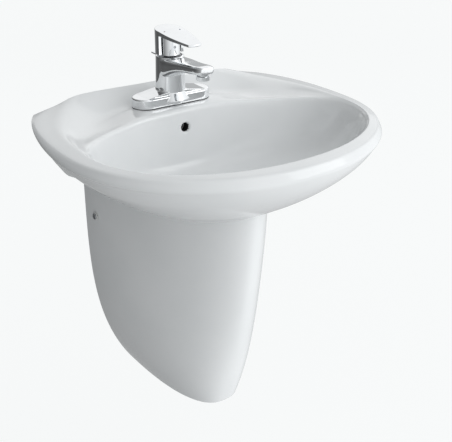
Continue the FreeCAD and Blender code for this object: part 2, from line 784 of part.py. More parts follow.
def bracket_screw(side):
    x = side * (BRACKET_X - 16)
    head = cylinder(5.0, 2.2, (x, -5.3, PED_FIX_Z), Y_AXIS)
    shank = cylinder(2.5, 5, (x, -5.0, PED_FIX_Z), Y_AXIS)
    tail = cylinder(size("screw_tail_rad"), 35, (x, 0, PED_FIX_Z), Y_AXIS)
    return fuse(head, shank, tail)


keep(per_side(wall_bracket), "pedestal_brackets")
keep(per_side(side_screw), "pedestal_side_screws")
keep(per_side(side_washer), "pedestal_screw_washers")
keep(per_side(bracket_screw), "bracket_wall_screws")

# ---------------------------------------------------------------- build: tap

rod_y = -size("lift_rod_y")
tap_y = -size("tap_y")
pitch = size("tap_pitch") / 2
keep(solid(make_tap_body(), "TapBody"), "tap_body")

gasket_shape = tap_footprint(-0.6, GASKET, number(DECK_Z))
for x_hole in (-number(pitch), number(pitch)):
    gasket_shape = gasket_shape.cut(Part.makeCylinder(13, 9, V(x_hole, TAP_Y, number(DECK_Z) - 2)))
gasket_shape = gasket_shape.cut(Part.makeCylinder(15, 9, V(0, TAP_Y, number(DECK_Z) - 2)))
gasket_shape = gasket_shape.cut(Part.makeCylinder(3, 9, V(0, number(rod_y), number(DECK_Z) - 2)))
keep(solid(gasket_shape, "Gasket"), "tap_base_gasket")

shank_rad = size("shank_rad")


def shank(side):
    low = (pitch * side, tap_y, BASE_Z - 60)
    whole = tube(shank_rad, 6.5, 66, low, Z_AXIS)
    return cut(whole, tube(shank_rad + 2, size("shank_tail_rad"), size("shank_tail"), low, Z_AXIS))


keep(per_side(shank), "inlet_shanks")
DECK_UNDER = DECK_Z - size("deck_thick")
keep(per_side(lambda side: tube(22, shank_rad + 0.4, 2.5, (pitch * side, tap_y, DECK_UNDER - 2.8))),
     "shank_washers")


def wing_nut(side):
    hub = hexagon(32.0, 10, (pitch * side, tap_y, DECK_UNDER - 13.0))
    wing = block(50, 4, 9, (pitch * side - 25, tap_y - 2, DECK_UNDER - 12.5))
    return cut(fuse(hub, wing), cylinder(shank_rad + 0.02, 20, (pitch * side, tap_y, DECK_UNDER - 18)))


keep(per_side(wing_nut), "shank_locknuts")

cartridge_rad = size("cartridge_rad")
seat_z = COLUMN_TOP - CARTRIDGE_SEAT
keep(cut(cylinder(cartridge_rad, CARTRIDGE_SEAT - 9.5, (0, tap_y, seat_z + 0.3)),
         cylinder(9.0, 9, (0, tap_y, COLUMN_TOP - 14)),
         cylinder(3.2, 6, (-8, tap_y, seat_z - 1)),
         cylinder(3.2, 6, (8, tap_y, seat_z - 1))), "mixer_cartridge")
keep(tube(cartridge_rad + 3.4, 10.2, 8.0, (0, tap_y, COLUMN_TOP - 8.9)), "cartridge_retainer")
keep(fuse(cylinder(8.6, 5.5, (0, tap_y, COLUMN_TOP - 13.5)),
          cylinder(10.1, 11, (0, tap_y, COLUMN_TOP - 8.9))), "cartridge_turret")

carrier = fuse(
    cylinder(18.0, 30, (0, tap_y, COLUMN_TOP + 2.3)),
    block(14, 9, 10, (-7, tap_y + 9, COLUMN_TOP + 4)))
carrier = cut(carrier,
              cylinder(10.2, 9, (0, tap_y, COLUMN_TOP - 6.7)),
              cylinder(2.07, 60, (-30, PIN_Y, COLUMN_TOP + PIN_RISE), X_AXIS),
              cylinder(2.55, 30, (0, tap_y - 6, COLUMN_TOP + 17), V(0, -1, 0)))
keep(carrier, "lever_carrier")
keep(cylinder(2.5, 10, (0, tap_y - 7, COLUMN_TOP + 17), V(0, -1, 0)), "carrier_grub_screw")
keep(cylinder(2.0, 36, (-18, PIN_Y, COLUMN_TOP + PIN_RISE), X_AXIS), "lever_pin")
keep(solid(make_lever(), "Lever"), "lever_handle")
keep(cylinder(1.2, DOT_DEEP, (-DOT_X, DOT_Y, dot_floor() + 0.05)), "hot_marker")
keep(cylinder(1.2, DOT_DEEP, (DOT_X, DOT_Y, dot_floor() + 0.05)), "cold_marker")

nose_y = tap_y - size("spout_reach") + AERATOR_BACK
AERATOR_LOW = COLUMN_TOP - 19.5
keep(turned("aerator_housing", [
    (9.9, 0), (11.4, 0), (11.8, 1.2), (11.8, 7.0), (9.4, 8.2), (9.4, 10.0), (7.6, 10.0), (7.6, 2.0),
    (9.9, 2.0)], (0, nose_y, AERATOR_LOW)), "aerator_housing")
keep(cylinder(9.7, 1.8, (0, nose_y, AERATOR_LOW + 0.1)), "aerator_screen")
keep(tube(9.0, 6.0, 1.0, (0, nose_y, AERATOR_LOW + 10.05)), "aerator_washer")

# ---------------------------------------------------------------- build: pop-up waste

drain_y = -size("drain_y")
FLANGE_Z = size("crest_z") - size("bowl_depth") - 2.4
keep(turned("drain_flange", [
    (17.5, 0), (20.2, 0), (20.2, 24), (32, 24), (32, 25), (29.5, 26.4), (21.5, 25.6), (17.5, 22)],
    (0, drain_y, FLANGE_Z - 24)), "drain_flange")

UNDERSIDE = size("crest_z") - size("belly_depth")
BODY_TOP = FLANGE_Z - 0.4
BODY_LOW = UNDERSIDE - 101
PORT_Z = UNDERSIDE - 56
PORT_Y = 27.0


def turned_body():
    height = number(BODY_TOP - BODY_LOW)
    upper = number(BODY_TOP) - number(FLANGE_Z) + 25
    return turned("drain_body_turning", [
        (16.3, 0), (18.2, 0), (18.2, 20), (21.8, 28), (21.8, height), (20.3, height),
        (20.3, height - upper), (18.5, height - upper - 3), (18.5, 26), (16.3, 20)],
        (0, drain_y, BODY_LOW))


port = cylinder(9.0, 15, (0, drain_y + 19.5, PORT_Z), Y_AXIS)
keep(cut(fuse(turned_body(), port),
         cylinder(18.5, 12, (0, drain_y, PORT_Z - 6)),
         cone(5.2, 3.6, 14, (0, drain_y + 16, PORT_Z), Y_AXIS),
         sphere(5.6, (0, drain_y + PORT_Y, PORT_Z)),
         cylinder(5.6, 12, (0, drain_y + PORT_Y, PORT_Z), Y_AXIS)), "drain_body")
keep(turned("drain_gasket", [(22.1, 0), (30, 0), (26, 7), (22.1, 7)],
            (0, drain_y, UNDERSIDE - 9.0)), "drain_gasket")
keep(tube(30, 22.1, 2, (0, drain_y, UNDERSIDE - 11.2)), "drain_washer")
keep(nut(54.0, 21.85, 9, (0, drain_y, UNDERSIDE - 20.4)), "drain_locknut")

# the stopper stands open at rest, its blade resting on the pivot rod
OPEN_LIFT = 4.8
cap_z = FLANGE_Z + 2.6 + OPEN_LIFT
blade_low = PORT_Z - 8
stopper = fuse(
    cylinder(27, 2.6, (0, drain_y, cap_z)),
    cone(27, 20, 1.4, (0, drain_y, cap_z + 2.6)),
    cylinder(13.5, 8, (0, drain_y, cap_z - 8)),
    block(24, 3, cap_z - blade_low - 4, (-12, drain_y - 1.5, blade_low)))
keep(cut(stopper, cylinder(2.9, 30, (0, drain_y - 15, PORT_Z), Y_AXIS)), "stopper")
keep(tube(16.8, 13.6, 2.6, (0, drain_y, cap_z - 6)), "stopper_seal")

# the pivot rod rocks on its ball in the side port
pivot_y = drain_y + PORT_Y
keep(fuse(sphere(5.2, (0, pivot_y, PORT_Z)),
          cylinder(2.2, rod_y - drain_y + 20, (0, drain_y - 6, PORT_Z), Y_AXIS)),
     "pivot_rod")
keep(turned("pivot_ball_nut", [
    (9.2, 0), (12.5, 0), (12.5, 12), (6.5, 12), (6.5, 9.4), (9.2, 9.4)],
    (0, drain_y + 26, PORT_Z), Y_AXIS), "pivot_ball_nut")

# lift rod, clamp and strap between the knob and the pivot rod
KNOB_Z = COLUMN_TOP - 8.0
strap_top = DECK_Z - 50
strap_y = rod_y - 5.9
strap_low = PORT_Z - 22
rod_low = strap_top - 24
keep(cylinder(size("lift_rod_rad"), KNOB_Z - rod_low, (0, rod_y, rod_low)), "lift_rod")
tab = block(12, 24, 2.2, (-6, rod_y - 2.5, KNOB_Z + 0.2))
keep(cut(fuse(tab, cylinder(3, 6, (0, rod_y, KNOB_Z - 3.6))),
         cylinder(size("lift_rod_rad"), 3.6, (0, rod_y, KNOB_Z - 3.6))), "lift_knob")
keep(cut(cylinder(4.2, 10, (0, rod_y, strap_top - 16)),
         cylinder(size("lift_rod_rad"), 12, (0, rod_y, strap_top - 17)),
         cylinder(1.5, 12, (0, rod_y, strap_top - 11), V(0, -1, 0))), "clevis_clamp")
keep(fuse(cylinder(1.5, 8, (0, rod_y - 1.7, strap_top - 11), V(0, -1, 0)),
          cylinder(5.0, 4, (0, rod_y - 6.4, strap_top - 11), V(0, -1, 0))), "clevis_screw")
strap = block(14, 1.5, strap_top - strap_low, (-7, strap_y, strap_low))
HOLE_STEP = 13
for step in range(5):
    strap = cut(strap, cylinder(3.0, 10, (0, strap_y - 5, PORT_Z + (step - 1) * HOLE_STEP), Y_AXIS))
strap = cut(strap, cylinder(1.7, 10, (0, strap_y - 5, strap_top - 11), Y_AXIS))
keep(strap, "clevis_strap")
clip = fuse(
    block(13.6, 0.6, 12, (-6, strap_y - 3, PORT_Z - 6)),
    block(13.6, 0.6, 12, (-6, strap_y + 3.9, PORT_Z - 6)),
    block(0.6, 7.5, 12, (7.3, strap_y - 3, PORT_Z - 6)))
clip = cut(clip, cylinder(3.0, 14, (0, strap_y - 6, PORT_Z), Y_AXIS))
keep(clip, "pivot_spring_clip")

# ---------------------------------------------------------------- build: trap

tail_rad = size("tail_rad")
tail_bore = tail_rad - size("pipe_wall")
JOINT_Z = -size("trap_inlet_z")
TAIL_LOW = JOINT_Z - 20
keep(tube(tail_rad, tail_bore, BODY_LOW + 18 - TAIL_LOW, (0, drain_y, TAIL_LOW)), "tailpiece")

bend = size("bend_rad")
SOCKET_RAD = number(tail_rad) + 2.6
cup_y = -number(size("drain_y"))
arm_y = cup_y + 2 * number(bend)
joint_z = number(JOINT_Z)
ARM_Z = joint_z - 22.0


def pipe_path(*edges):
    return Part.Wire(list(edges))


def pipe(path, start, direction, outer, inner):
    """A round pipe of even wall along a path of straight runs and arcs."""
    def swept(radius):
        ring = Part.Wire([Part.Circle(start, direction, radius).toShape()])
        return path.makePipeShell([ring], True, True)
    return swept(outer).cut(swept(inner))


def half_turn(start_y, end_y, z, deep):
    middle = V(0, (start_y + end_y) / 2, z - deep)
    return Part.Arc(V(0, start_y, z), middle, V(0, end_y, z)).toShape()


J_OUTER, J_INNER = number(tail_rad) + 1.0, number(tail_rad) - 1.6
BEND_Z = joint_z - 70.0
J_SHORT_TOP = ARM_Z - 14.0
path = pipe_path(
    Part.makeLine(V(0, cup_y, joint_z - 34), V(0, cup_y, BEND_Z)),
    half_turn(cup_y, arm_y, BEND_Z, number(bend)),
    Part.makeLine(V(0, arm_y, BEND_Z), V(0, arm_y, J_SHORT_TOP - 8)))
j_bend = pipe(path, V(0, cup_y, joint_z - 34), V(0, 0, -1), J_OUTER, J_INNER)


def socket(y, z_low, height, bore):
    cup = Part.makeCylinder(SOCKET_RAD, height, V(0, y, z_low))
    return cup.cut(Part.makeCylinder(bore, height, V(0, y, z_low)))


j_bend = j_bend.fuse([
    socket(cup_y, joint_z - 36, 34, number(tail_rad) + 0.2),
    socket(cup_y, joint_z - 38, 4, J_INNER),
    socket(arm_y, J_SHORT_TOP - 9, 4, J_INNER),
    socket(arm_y, J_SHORT_TOP - 6, 20, J_INNER)]).removeSplitter()
keep(solid(j_bend, "TrapBend"), "trap_j_bend")

ARM_RAD = 26.0
ARM_TOP = J_SHORT_TOP + 14.4 + 8 + ARM_RAD
arm_path = pipe_path(
    Part.makeLine(V(0, arm_y, J_SHORT_TOP + 14.6), V(0, arm_y, ARM_TOP - ARM_RAD)),
    Part.Arc(V(0, arm_y, ARM_TOP - ARM_RAD),
             V(0, arm_y + ARM_RAD * (1 - math.cos(math.pi / 4)),
               ARM_TOP - ARM_RAD + ARM_RAD * math.sin(math.pi / 4)),
             V(0, arm_y + ARM_RAD, ARM_TOP)).toShape(),
    Part.makeLine(V(0, arm_y + ARM_RAD, ARM_TOP), V(0, 30, ARM_TOP)))
trap_arm = pipe(arm_path, V(0, arm_y, J_SHORT_TOP + 14.6), Z_AXIS,
                number(tail_rad), number(tail_bore))
arm_flange = Part.makeCylinder(SOCKET_RAD, 2.5, V(0, arm_y, J_SHORT_TOP + 14.6))
arm_flange = arm_flange.cut(Part.makeCylinder(number(tail_bore), 2.5, V(0, arm_y, J_SHORT_TOP + 14.6)))
spigot_ring = Part.makeCylinder(number(tail_rad) + 4, 26, V(0, 4, ARM_TOP), Y_AXIS)
spigot_ring = spigot_ring.cut(Part.makeCylinder(number(size("spigot_rad")), 26, V(0, 4, ARM_TOP), Y_AXIS))
keep(solid(trap_arm.fuse(arm_flange).removeSplitter().cut(spigot_ring), "TrapArm"), "trap_arm")


def slip_nut(y, z_low, hole):
    """A ribbed coupling nut with an inner shoulder."""
    outside = SOCKET_RAD + 4.0
    made = Part.makeCylinder(outside, 20, V(0, y, z_low))
    made = made.cut(Part.makeCylinder(SOCKET_RAD + 0.15, 16, V(0, y, z_low)))
    made = made.cut(Part.makeCylinder(hole, 30, V(0, y, z_low - 1)))
    ribs = 18
    for rib in range(ribs):
        angle = 2 * math.pi * rib / ribs
        spot = V(outside * math.cos(angle), y + outside * math.sin(angle), z_low + 2)
        made = made.cut(Part.makeCylinder(1.6, 30, spot))
    return made


keep(solid(slip_nut(cup_y, joint_z - 16.5, number(tail_rad) + 0.3), "InletNut"), "trap_inlet_nut")
keep(solid(slip_nut(arm_y, J_SHORT_TOP + 2.0, number(tail_rad) + 0.3), "ArmNut"), "trap_arm_nut")
keep(tube(SOCKET_RAD - 0.2, tail_rad + 0.15, 1.4, (0, drain_y, JOINT_Z - 1.9)), "trap_inlet_washer")
keep(tube(24, tail_rad + 0.4, 1.2, (0, -1.3, ARM_TOP), Y_AXIS), "wall_plate_seal")
keep(turned("wall_plate", [
    (tail_rad + 0.3, 0), (32, 0), (32, 1.0), (28, 4.5), (19.5, 8.0), (tail_rad + 0.3, 8.0)],
    (0, -1.4, ARM_TOP), V(0, -1, 0)), "wall_plate")

# ---------------------------------------------------------------- check and write

doc.recompute()
for obj in doc.Objects:
    if "Invalid" in obj.State or "Error" in obj.State:
        raise RuntimeError(f"{obj.Label} failed: {obj.State}")
for piece in pieces:
    shape = piece.Shape
    if shape.isNull() or not shape.isValid() or not shape.Solids:
        raise RuntimeError(f"{piece.Label} has no valid solid")
os.makedirs("parts", exist_ok=True)
for piece in pieces:
    piece.Shape.exportStep(f"parts/{piece.Label}.step")
print(len(pieces), "pieces written")
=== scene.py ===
import math
import json
import bpy
import bmesh
import numpy as np
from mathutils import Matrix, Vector
from mathutils.bvhtree import BVHTree


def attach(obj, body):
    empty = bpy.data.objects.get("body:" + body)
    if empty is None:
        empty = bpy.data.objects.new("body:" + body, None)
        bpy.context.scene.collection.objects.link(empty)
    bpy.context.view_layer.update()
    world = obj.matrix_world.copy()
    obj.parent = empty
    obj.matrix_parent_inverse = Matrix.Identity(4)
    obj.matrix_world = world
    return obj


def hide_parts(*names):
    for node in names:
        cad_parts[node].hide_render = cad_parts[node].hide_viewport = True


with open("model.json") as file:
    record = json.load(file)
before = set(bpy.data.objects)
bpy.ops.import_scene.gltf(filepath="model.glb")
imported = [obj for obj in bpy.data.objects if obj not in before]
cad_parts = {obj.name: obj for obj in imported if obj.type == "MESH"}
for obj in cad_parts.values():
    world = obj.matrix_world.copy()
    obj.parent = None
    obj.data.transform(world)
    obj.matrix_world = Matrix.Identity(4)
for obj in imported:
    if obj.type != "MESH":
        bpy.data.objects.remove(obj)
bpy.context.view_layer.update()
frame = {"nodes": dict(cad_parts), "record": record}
NODES = frame["nodes"]
MM = 0.001

# ---------------------------------------------------------------- sizes, in millimetres

CREST = 90.0
RIM_HALF, RIM_FRONT, WIDEST_Y, RIM_AT_WALL = 286.0, 464.0, 205.0, 240.0
BELLY_DEPTH, BELLY_FADE, BOWL_DEPTH = 139.0, 165.0, 127.0
DECK_DROP = 6.5
DRAIN_Y, DRAIN_RAD = -205.0, 23.0
TAP_Y, TAP_PITCH = -67.0, 102.0
SIDE_SHARE = 0.4  # share of the belly's fullness at its sides
HOLLOW_BACK, HOLLOW_FRONT, DECK_THICK = -15.0, -97.0, 15.0
HOLLOW_HALF, HOLLOW_BASE = 158.0, -18.0
HOLLOW_LOW_HALF, HOLLOW_LOW_BASE, HOLLOW_LOW_TOP = 132.0, -140.0, -10.0
FLANGE_SEAT_RAD, FLANGE_SEAT_DEEP = 33.5, 2.4
TAP_HOLE_RAD, BOLT_HOLE_RAD, BOLT_X = 16.0, 8.0, 140.0
OVERFLOW_DROP, OVERFLOW_RAD, OVERFLOW_DEEP = 41.0, 8.0, 24.0
# The overflow channel's faces between these depths get a near-black painted shade, standing in for the shadow
# deep inside the hole.
PAINTED_SHADE_FROM, PAINTED_SHADE_TO, PAINTED_SHADE_REACH = 0.003, 0.026, 0.0085  # metres from the overflow's mouth
SPOKES, PULLS, FINE = 40, 3, 5

# ---------------------------------------------------------------- mesh helpers


def mesh_object(name, verts, faces, scale=MM):
    mesh = bpy.data.meshes.new(name)
    mesh.from_pydata([tuple(c * scale for c in v) for v in verts], [], faces)
    mesh.validate()
    made = bpy.data.objects.new(name, mesh)
    bpy.context.scene.collection.objects.link(made)
    return made


def fix_normals(obj):
    work = bmesh.new()
    work.from_mesh(obj.data)
    bmesh.ops.recalc_face_normals(work, faces=work.faces)
    work.to_mesh(obj.data)
    work.free()


def smooth(obj, degrees=35.0):
    obj.data.shade_smooth()
    obj.data.set_sharp_from_angle(angle=math.radians(degrees))


def apply_modifiers(obj):
    bpy.context.view_layer.update()
    graph = bpy.context.evaluated_depsgraph_get()
    mesh = bpy.data.meshes.new_from_object(obj.evaluated_get(graph))
    old = obj.data
    obj.modifiers.clear()
    obj.data = mesh
    bpy.data.meshes.remove(old)


def carve(obj, tool):
    """Cuts a tool object away from another, and removes the tool."""
    change = obj.modifiers.new("cut", "BOOLEAN")
    change.operation = "DIFFERENCE"
    change.solver = "EXACT"
    change.object = tool
    apply_modifiers(obj)
    bpy.data.objects.remove(tool)


def revolve(name, profile, steps, at, axis):
    """A closed solid of revolution from (radius, height) points that start and end at radius 0."""
    verts, faces, rows = [], [], []
    for radius, height in profile:
        row = []
        count = 1 if radius < 1e-6 else steps
        for step in range(count):
            angle = 2 * math.pi * step / steps
            row.append(len(verts))
            verts.append(Vector((radius * math.cos(angle), radius * math.sin(angle), height)))
        rows.append(row)
    for low, high in zip(rows, rows[1:]):
        for step in range(steps):
            nxt = (step + 1) % steps
            if len(low) == 1:
                faces.append((low[0], high[nxt], high[step]))
            elif len(high) == 1:
                faces.append((low[step], low[nxt], high[0]))
            else:
                faces.append((low[step], low[nxt], high[nxt], high[step]))
    turn = Vector((0, 0, 1)).rotation_difference(Vector(axis)).to_matrix()
    verts = [turn @ v + Vector(at) for v in verts]
    made = mesh_object(name, verts, faces)
    fix_normals(made)
    return made


def rod(radius, length, at, axis=(0, 0, 1)):
    return revolve("tool", [(0, 0), (radius, 0), (radius, length), (0, length)], 64, at, axis)


def box_tool(low, high):
    verts = [(x, y, z) for x in (low[0], high[0]) for y in (low[1], high[1]) for z in (low[2], high[2])]
    faces = [(0, 1, 3, 2), (4, 6, 7, 5), (0, 4, 5, 1), (2, 3, 7, 6), (0, 2, 6, 4), (1, 5, 7, 3)]
    made = mesh_object("tool", verts, faces)
    fix_normals(made)
    return made


def ease(value, low, high):
    share = min(1.0, max(0.0, (value - low) / (high - low)))
    return share * share * (3 - 2 * share)


# ---------------------------------------------------------------- basin


def super_radius(angle, half, depth, power):
    across = abs(math.cos(angle)) / half
    along = abs(math.sin(angle)) / depth
    return (across ** power + along ** power) ** (-1.0 / power)


def oval(half, centre_y, front_y, back_y, depth, power=(2.1, 2.1), lift=None, dish=0.0):
    """A closed outline; lift(y) raises it and dish sinks its rear corners."""
    points = []
    for spoke in range(SPOKES):
        angle = math.pi / 2 + 2 * math.pi * spoke / SPOKES
        towards_wall = math.sin(angle) > 0
        reach = back_y - centre_y if towards_wall else centre_y - front_y
        radius = super_radius(angle, half, reach, power[1 if towards_wall else 0])
        y = centre_y + radius * math.sin(angle)
        x = radius * math.cos(angle)
        sunk = dish * ease(abs(x), 85, 150) * ease(y, -215, -120)
        points.append((x, y, CREST - depth - sunk + (lift(y) if lift else 0.0)))
    return points


def belly_oval(drop, half, front, at_wall):
    """An outline of the outer skin: round in front, running back to the wall."""
    centre, beyond_wall = -WIDEST_Y, 60.0
    points = []
    for spoke in range(SPOKES):
        angle = math.pi / 2 + 2 * math.pi * spoke / SPOKES
        cosine, sine = math.cos(angle), math.sin(angle)
        if sine <= 0:
            radius = super_radius(angle, half, front, 2.15)
        else:
            bend = (half - at_wall) * sine ** 2 / centre ** 2
            inside = cosine ** 2 + 4 * bend * half
            flank = 2 * half / (abs(cosine) + math.sqrt(inside)) if inside > 0 else 1e4
            radius = (flank ** -8 + ((beyond_wall - centre) / sine) ** -8) ** (-1.0 / 8)
        points.append((radius * cosine, centre + radius * sine, CREST - drop))
    return points


def rear_lift(height):
    return lambda y: height * max(0.0, (y + 110.0) / 150.0) ** 3


def edge_ring(inward, down):
    """An outline on the rim's rounded edge, which tightens towards the wall."""
    ring = []
    for x, y, z in belly_oval(5.0, RIM_HALF, RIM_FRONT - WIDEST_Y, RIM_AT_WALL):
        radius = 12.0 - 8.5 * ease(y, -WIDEST_Y - 60, 0)
        size = math.hypot(x, y + WIDEST_Y)
        ring.append((x - x / size * radius * inward,
                     y - (y + WIDEST_Y) / size * radius * inward, z - radius * down))
    return ring


def belly_ring(drop):
    """The outer skin's outline at a depth below the crest."""
    share = drop / BELLY_FADE
    fuller = 70.0 * share ** 0.9 * (1 - share) ** 3
    half = RIM_HALF * (1 - share ** 1.43) ** (1 / 1.6) + SIDE_SHARE * fuller
    front = (RIM_FRONT - WIDEST_Y) * (1 - share ** 1.5) ** (1 / 1.7) + fuller
    return belly_oval(drop, half, front, RIM_AT_WALL - 57.0 * (drop / 131.0) ** 1.9)


def basin_rings():
    floor, deck = BOWL_DEPTH, DECK_DROP
    rings = [
        oval(12, DRAIN_Y, DRAIN_Y - 12, DRAIN_Y + 12, floor + 6, (2, 2)),
        oval(32, DRAIN_Y, DRAIN_Y - 32, DRAIN_Y + 32, floor, (2, 2)),
        oval(74, DRAIN_Y - 5, -286, -148, floor - 4),
        oval(128, -215, -327, -132, floor - 14),
        oval(175, -228, -364, -123, floor - 33),
        oval(208, -240, -391, -118.5, floor - 58),
        oval(228, -248, -409, -115.5, floor - 87),
        oval(239, -252, -420, -113, 17.5),
        oval(245.5, -255, -427, -107, deck + 1.0, dish=3.0),
        oval(247.8, -254, -429.5, -84, 4.4, (2.1, 2.1), lambda y: -2.1 * ease(y, -170, -95), 7.5),
        oval(250.0, -252, -432, -56, 2.5, (2.1, 2.15), lambda y: -4.0 * ease(y, -150, -70), 7.0),
        oval(252.2, -249, -434.6, -31, 1.0, (2.1, 2.25), lambda y: -4.6 * ease(y, -120, -45), 5.0),
        oval(254.8, -245, -437.5, 32, 0.0, (2.1, 2.3), rear_lift(40.0)),
        oval(263, -235, -446, 46, 1.2, (2.1, 2.6), rear_lift(20.0)),
        oval(275, -220, -456, 55, 3.4, (2.13, 2.85), rear_lift(7.0)),
        edge_ring(0.35, 0.25),
        edge_ring(0.0, 1.0),
    ]
    rings += [belly_ring(drop) for drop in (24, 38, 54, 71, 88, 105, 121, 132)]
    rings += [
        belly_oval(BELLY_DEPTH - 1.5, 98, 90, 171),
        belly_oval(BELLY_DEPTH, 72, 66, 150),
        belly_oval(BELLY_DEPTH, 40, 40, 70),
        oval(14, DRAIN_Y, DRAIN_Y - 14, DRAIN_Y + 14, BELLY_DEPTH, (2, 2)),
    ]
    return np.array(rings)


def refine(poles, axis):
    """Splits every span of a closed cubic B-spline into FINE parts."""
    rows = []
    shifted = [np.roll(poles, 1 - k, axis=axis) for k in range(4)]
    for step in range(FINE):
        t = step / FINE
        weights = ((1 - t) ** 3, 3 * t ** 3 - 6 * t ** 2 + 4, -3 * t ** 3 + 3 * t ** 2 + 3 * t + 1, t ** 3)
        rows.append(sum(w * s for w, s in zip(weights, shifted)) / 6.0)
    stacked = np.stack(rows, axis=axis + 1)
    shape = list(poles.shape)
    shape[axis] *= FINE
    return stacked.reshape(shape)


def china_skin(name, rings):
    """A closed spline surface through the rings, whose poles are pulled out to meet them."""
    poles = rings.copy()
    for _ in range(PULLS):
        near = poles
        for axis in (0, 1):
            near = (np.roll(near, 1, axis) + 4 * near + np.roll(near, -1, axis)) / 6.0
        poles = poles + (rings - near)
    grid = refine(refine(poles, 0), 1)
    count, spokes = grid.shape[:2]
    faces = []
    for i in range(count):
        for j in range(spokes):
            a, b = (i + 1) % count, (j + 1) % spokes
            faces.append((i * spokes + j, i * spokes + b, a * spokes + b, a * spokes + j))
    made = mesh_object(name, grid.reshape(-1, 3).tolist(), faces)
    fix_normals(made)
    return made


def make_basin():
    """The china basin, and a search tree of its skin from before the holes are cut."""
    basin = china_skin("basin_china", basin_rings())
    work = bmesh.new()
    work.from_mesh(basin.data)
    skin_tree = BVHTree.FromBMesh(work)
    work.free()
    carve(basin, box_tool((-700, 0, -300), (700, 500, 400)))
    carve(basin, box_tool((-HOLLOW_HALF, HOLLOW_FRONT, HOLLOW_BASE),
                          (HOLLOW_HALF, HOLLOW_BACK, CREST - DECK_DROP - DECK_THICK)))
    carve(basin, box_tool((-HOLLOW_LOW_HALF, HOLLOW_FRONT, HOLLOW_LOW_BASE),
                          (HOLLOW_LOW_HALF, HOLLOW_BACK, HOLLOW_LOW_TOP)))
    carve(basin, rod(DRAIN_RAD, 120, (0, DRAIN_Y, -80)))
    carve(basin, rod(FLANGE_SEAT_RAD, 40, (0, DRAIN_Y, CREST - BOWL_DEPTH - FLANGE_SEAT_DEEP)))
    for x in (-TAP_PITCH / 2, 0, TAP_PITCH / 2):
        carve(basin, rod(TAP_HOLE_RAD, 70, (x, TAP_Y, 40)))
    for x in (-BOLT_X, BOLT_X):
        carve(basin, rod(BOLT_HOLE_RAD, 40, (x, 1, 0), (0, -1, 0)))
    from_bowl = Vector((0, -0.2, (CREST - OVERFLOW_DROP) * MM))
    spot, outward = skin_tree.ray_cast(from_bowl, Vector((0, 1, 0)))[:2]
    lip = [(0, -OVERFLOW_DEEP), (OVERFLOW_RAD, -OVERFLOW_DEEP), (OVERFLOW_RAD, -4), (8.4, -2),
           (9.4, -0.6), (11.2, 0.35), (13.5, 0.9), (13.5, 6), (0, 6)]
    carve(basin, revolve("tool", lip, 48, tuple(c / MM for c in spot), tuple(outward)))
    basin.data.materials.clear()
    basin.data.materials.append(FINISH["china"])
    basin.data.materials.append(OVERFLOW_SHADE_PAINT)
    # Faces inside the overflow's mouth get the second material: a near-black painted shade for the shadow in
    # the channel.
    for face in basin.data.polygons:
        away = face.center - spot
        depth = -away.dot(outward)
        beside = (away + outward * depth).length
        if PAINTED_SHADE_FROM < depth < PAINTED_SHADE_TO and beside < PAINTED_SHADE_REACH:
            face.material_index = 1
    smooth(basin)
    return basin, skin_tree


# ---------------------------------------------------------------- half pedestal

PED_HALF, PED_FOOT_HALF, PED_FRONT, PED_FOOT_FRONT = 149.6, 72.3, 324.4, 236.7
PED_TOP, PED_FOOT, PED_WALL = 118.0, 553.4, 11.0
PED_LIP, PED_FOOT_EDGE = 4.5, 3.0  # radii of the top and bottom edges
FIT_GAP, SEARCH_STEP, HALVINGS = 1.0, 4.0, 12
COLUMNS, LEVELS, INNER_LEVELS, FOOT_STEPS, LIP_STEPS = 144, 90, 23, 4, 5


def pedestal_point(angle, drop, inset=0.0):
    """A point of the pedestal's outside, or of a skin inset from it."""
    share = max((drop - PED_TOP) / (PED_FOOT - PED_TOP), 0.0)
    width = PED_HALF - (PED_HALF - PED_FOOT_HALF) * share ** 3.75 - inset
    depth = PED_FRONT - (PED_FRONT - PED_FOOT_FRONT) * share ** 1.6 - inset
    radius = super_radius(angle, width, depth, 1.7 + 0.92 * share ** 3.7)
    return Vector((radius * math.cos(angle), -abs(radius * math.sin(angle)), CREST - drop))


def clearance(tree, point):
    """Distance in millimetres from the basin's skin, negative inside it."""
    near, normal, _, distance = tree.find_nearest(point * MM)
    return distance / MM * (1 if (point * MM - near).dot(normal) > 0 else -1)


def top_drop(tree, angle, inset):
    """Drop at which a vertical line of the pedestal meets the basin's belly."""
    high = PED_FOOT
    while high > 20 and clearance(tree, pedestal_point(angle, high, inset)) > FIT_GAP:
        high -= SEARCH_STEP
    low = high + SEARCH_STEP
    for _ in range(HALVINGS):
        middle = (low + high) / 2
        if clearance(tree, pedestal_point(angle, middle, inset)) > FIT_GAP:
            low = middle
        else:
            high = middle
    return low


